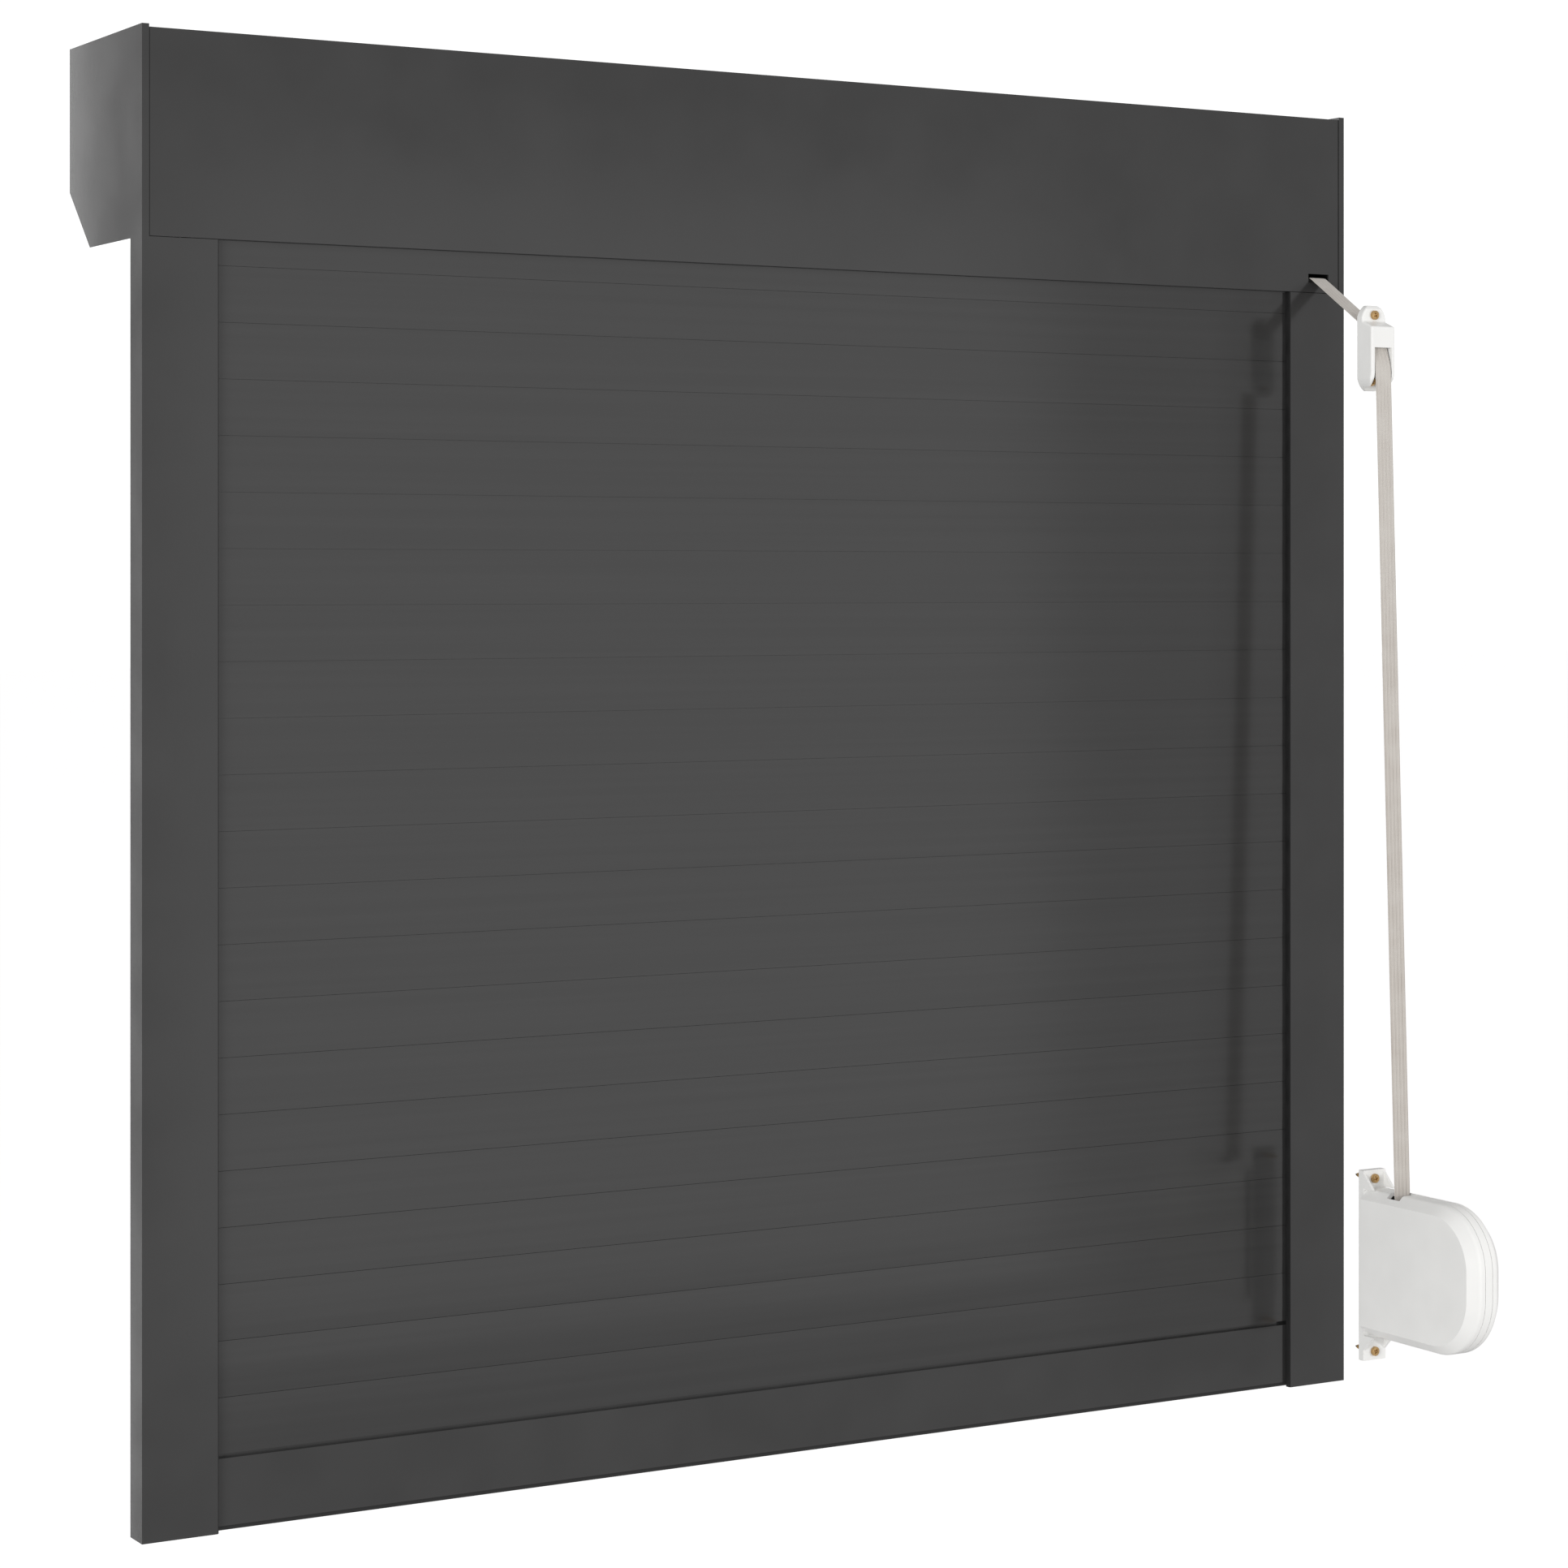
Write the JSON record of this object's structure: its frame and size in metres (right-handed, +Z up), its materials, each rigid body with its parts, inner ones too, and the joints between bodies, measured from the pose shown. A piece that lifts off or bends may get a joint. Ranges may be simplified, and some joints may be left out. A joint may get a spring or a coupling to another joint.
{
  "type": "exterior roller shutter",
  "caption": "Roller shutter for the outside of a window: sloped box, guide rails, aluminium slat curtain with bottom bar, and a hand strap with guide and winder.",
  "frame": {"origin": "middle of the sill line, on the room-side plane of the guide rails", "axes": "+X along the window to the strap side, +Y out of the room, +Z up"},
  "size_m": [1, 0.341, 1],
  "materials": {
    "powder_coated_aluminium": "matt anthracite powder coat",
    "black_rubber": "matt",
    "black_plastic": "moulded",
    "grey_nylon": "moulded",
    "galvanised_steel": "galvanised",
    "yellow_zinc_steel": "yellow passivated zinc",
    "woven_strap": "woven",
    "white_plastic": "satin"
  },
  "bodies": {
    "frame": {"box_outer_panel": "powder_coated_aluminium", "box_room_panel": "powder_coated_aluminium", "box_service_cover": "powder_coated_aluminium", "cover_screws": "galvanised_steel", "end_plate_left": "powder_coated_aluminium", "end_plate_right": "powder_coated_aluminium", "guide_rail_left": "powder_coated_aluminium", "guide_rail_right": "powder_coated_aluminium", "rail_inlet_left": "black_plastic", "rail_inlet_right": "black_plastic", "rail_seals_left": "black_rubber", "rail_seals_right": "black_rubber", "shaft_bearing_left": "galvanised_steel", "shaft_bearing_right": "galvanised_steel", "strap": "woven_strap", "strap_guide": "white_plastic", "strap_guide_screws": "yellow_zinc_steel", "strap_inlet": "black_plastic", "winder_axle": "galvanised_steel", "winder_base": "white_plastic", "winder_cover_left": "white_plastic", "winder_cover_right": "white_plastic", "winder_screws": "yellow_zinc_steel", "winder_spring": "galvanised_steel"},
    "bar": {"bottom_bar": "powder_coated_aluminium", "bottom_seal": "black_rubber", "bar_stoppers": "black_plastic"},
    "shaft": {"shaft_tube": "galvanised_steel", "strap_pulley": "grey_nylon", "shaft_end_plug": "grey_nylon", "strap_coil": "woven_strap", "curtain_hangers": "galvanised_steel"},
    "reel": {"winder_reel": "white_plastic", "reel_coil": "woven_strap"},
    "curtain_slat_01": {"slat_01": "powder_coated_aluminium"},
    "curtain_slat_02": {"slat_02": "powder_coated_aluminium"},
    "curtain_slat_03": {"slat_03": "powder_coated_aluminium"},
    "curtain_slat_04": {"slat_04": "powder_coated_aluminium"},
    "curtain_slat_05": {"slat_05": "powder_coated_aluminium"},
    "curtain_slat_06": {"slat_06": "powder_coated_aluminium"},
    "curtain_slat_07": {"slat_07": "powder_coated_aluminium"},
    "curtain_slat_08": {"slat_08": "powder_coated_aluminium"},
    "curtain_slat_09": {"slat_09": "powder_coated_aluminium"},
    "curtain_slat_10": {"slat_10": "powder_coated_aluminium"},
    "curtain_slat_11": {"slat_11": "powder_coated_aluminium"},
    "curtain_slat_12": {"slat_12": "powder_coated_aluminium"},
    "curtain_slat_13": {"slat_13": "powder_coated_aluminium"},
    "curtain_slat_14": {"slat_14": "powder_coated_aluminium"},
    "curtain_slat_15": {"slat_15": "powder_coated_aluminium"},
    "curtain_slat_16": {"slat_16": "powder_coated_aluminium"},
    "curtain_slat_17": {"slat_17": "powder_coated_aluminium"},
    "curtain_slat_18": {"slat_18": "powder_coated_aluminium"},
    "curtain_slat_19": {"slat_19": "powder_coated_aluminium"},
    "curtain_slat_20": {"slat_20": "powder_coated_aluminium"},
    "curtain_slat_21": {"slat_21": "powder_coated_aluminium"},
    "curtain_slat_22": {"slat_22": "powder_coated_aluminium"},
    "curtain_slat_23": {"slat_23": "powder_coated_aluminium"}
  },
  "joints": [
    {"name": "curtain_lift", "type": "slide", "parent": "frame", "child": "bar", "axis": [0, 0, 1], "range_m": [0, 0.819], "deforming": ["slat_01", "slat_02", "slat_03", "slat_04", "slat_05", "slat_06", "slat_07", "slat_08", "slat_09", "slat_10", "slat_11", "slat_12", "slat_13", "slat_14", "slat_15", "slat_16", "slat_17", "slat_18", "slat_19", "slat_20", "slat_21", "slat_22", "slat_23"]},
    {"name": "slat_01_lift", "type": "slide", "parent": "frame", "child": "curtain_slat_01", "axis": [0, 0, 1], "range_m": [0, 0.82]},
    {"name": "slat_02_lift", "type": "slide", "parent": "frame", "child": "curtain_slat_02", "axis": [0, 0, 1], "range_m": [0, 0.786]},
    {"name": "slat_03_lift", "type": "slide", "parent": "frame", "child": "curtain_slat_03", "axis": [0, 0, 1], "range_m": [0, 0.752]},
    {"name": "slat_04_lift", "type": "slide", "parent": "frame", "child": "curtain_slat_04", "axis": [0, 0, 1], "range_m": [0, 0.718]},
    {"name": "slat_05_lift", "type": "slide", "parent": "frame", "child": "curtain_slat_05", "axis": [0, 0, 1], "range_m": [0, 0.684]},
    {"name": "slat_06_lift", "type": "slide", "parent": "frame", "child": "curtain_slat_06", "axis": [0, 0, 1], "range_m": [0, 0.65]},
    {"name": "slat_07_lift", "type": "slide", "parent": "frame", "child": "curtain_slat_07", "axis": [0, 0, 1], "range_m": [0, 0.616]},
    {"name": "slat_08_lift", "type": "slide", "parent": "frame", "child": "curtain_slat_08", "axis": [0, 0, 1], "range_m": [0, 0.582]},
    {"name": "slat_09_lift", "type": "slide", "parent": "frame", "child": "curtain_slat_09", "axis": [0, 0, 1], "range_m": [0, 0.548]},
    {"name": "slat_10_lift", "type": "slide", "parent": "frame", "child": "curtain_slat_10", "axis": [0, 0, 1], "range_m": [0, 0.514]},
    {"name": "slat_11_lift", "type": "slide", "parent": "frame", "child": "curtain_slat_11", "axis": [0, 0, 1], "range_m": [0, 0.48]},
    {"name": "slat_12_lift", "type": "slide", "parent": "frame", "child": "curtain_slat_12", "axis": [0, 0, 1], "range_m": [0, 0.446]},
    {"name": "slat_13_lift", "type": "slide", "parent": "frame", "child": "curtain_slat_13", "axis": [0, 0, 1], "range_m": [0, 0.412]},
    {"name": "slat_14_lift", "type": "slide", "parent": "frame", "child": "curtain_slat_14", "axis": [0, 0, 1], "range_m": [0, 0.378]},
    {"name": "slat_15_lift", "type": "slide", "parent": "frame", "child": "curtain_slat_15", "axis": [0, 0, 1], "range_m": [0, 0.344]},
    {"name": "slat_16_lift", "type": "slide", "parent": "frame", "child": "curtain_slat_16", "axis": [0, 0, 1], "range_m": [0, 0.31]},
    {"name": "slat_17_lift", "type": "slide", "parent": "frame", "child": "curtain_slat_17", "axis": [0, 0, 1], "range_m": [0, 0.276]},
    {"name": "slat_18_lift", "type": "slide", "parent": "frame", "child": "curtain_slat_18", "axis": [0, 0, 1], "range_m": [0, 0.242]},
    {"name": "slat_19_lift", "type": "slide", "parent": "frame", "child": "curtain_slat_19", "axis": [0, 0, 1], "range_m": [0, 0.208]},
    {"name": "slat_20_lift", "type": "slide", "parent": "frame", "child": "curtain_slat_20", "axis": [0, 0, 1], "range_m": [0, 0.174]},
    {"name": "slat_21_lift", "type": "slide", "parent": "frame", "child": "curtain_slat_21", "axis": [0, 0, 1], "range_m": [0, 0.14]},
    {"name": "slat_22_lift", "type": "slide", "parent": "frame", "child": "curtain_slat_22", "axis": [0, 0, 1], "range_m": [0, 0.106]},
    {"name": "slat_23_lift", "type": "slide", "parent": "frame", "child": "curtain_slat_23", "axis": [0, 0, 1], "range_m": [0, 0.072]},
    {"name": "shaft_spin", "type": "hinge", "parent": "frame", "child": "shaft", "pos_m": [0, 0.07, 0.93], "axis": [1, 0, 0], "range_deg": [-1265, 0]},
    {"name": "reel_spin", "type": "hinge", "parent": "frame", "child": "reel", "pos_m": [0.475, -0.142, 0.108], "axis": [1, 0, 0], "range_deg": [-2190, 0]}
  ],
  "couplings": [
    {"joint": "slat_01_lift", "follows": "curtain_lift", "ratio": 1},
    {"joint": "slat_02_lift", "follows": "curtain_lift", "ratio": 0.95849},
    {"joint": "slat_03_lift", "follows": "curtain_lift", "ratio": 0.91697},
    {"joint": "slat_04_lift", "follows": "curtain_lift", "ratio": 0.87546},
    {"joint": "slat_05_lift", "follows": "curtain_lift", "ratio": 0.83394},
    {"joint": "slat_06_lift", "follows": "curtain_lift", "ratio": 0.79243},
    {"joint": "slat_07_lift", "follows": "curtain_lift", "ratio": 0.75092},
    {"joint": "slat_08_lift", "follows": "curtain_lift", "ratio": 0.7094},
    {"joint": "slat_09_lift", "follows": "curtain_lift", "ratio": 0.66789},
    {"joint": "slat_10_lift", "follows": "curtain_lift", "ratio": 0.62637},
    {"joint": "slat_11_lift", "follows": "curtain_lift", "ratio": 0.58486},
    {"joint": "slat_12_lift", "follows": "curtain_lift", "ratio": 0.54335},
    {"joint": "slat_13_lift", "follows": "curtain_lift", "ratio": 0.50183},
    {"joint": "slat_14_lift", "follows": "curtain_lift", "ratio": 0.46032},
    {"joint": "slat_15_lift", "follows": "curtain_lift", "ratio": 0.4188},
    {"joint": "slat_16_lift", "follows": "curtain_lift", "ratio": 0.37729},
    {"joint": "slat_17_lift", "follows": "curtain_lift", "ratio": 0.33577},
    {"joint": "slat_18_lift", "follows": "curtain_lift", "ratio": 0.29426},
    {"joint": "slat_19_lift", "follows": "curtain_lift", "ratio": 0.25275},
    {"joint": "slat_20_lift", "follows": "curtain_lift", "ratio": 0.21123},
    {"joint": "slat_21_lift", "follows": "curtain_lift", "ratio": 0.16972},
    {"joint": "slat_22_lift", "follows": "curtain_lift", "ratio": 0.12821},
    {"joint": "slat_23_lift", "follows": "curtain_lift", "ratio": 0.086691},
    {"joint": "shaft_spin", "follows": "curtain_lift", "rad_per_m": -26.851},
    {"joint": "reel_spin", "follows": "curtain_lift", "rad_per_m": -46.549}
  ]
}
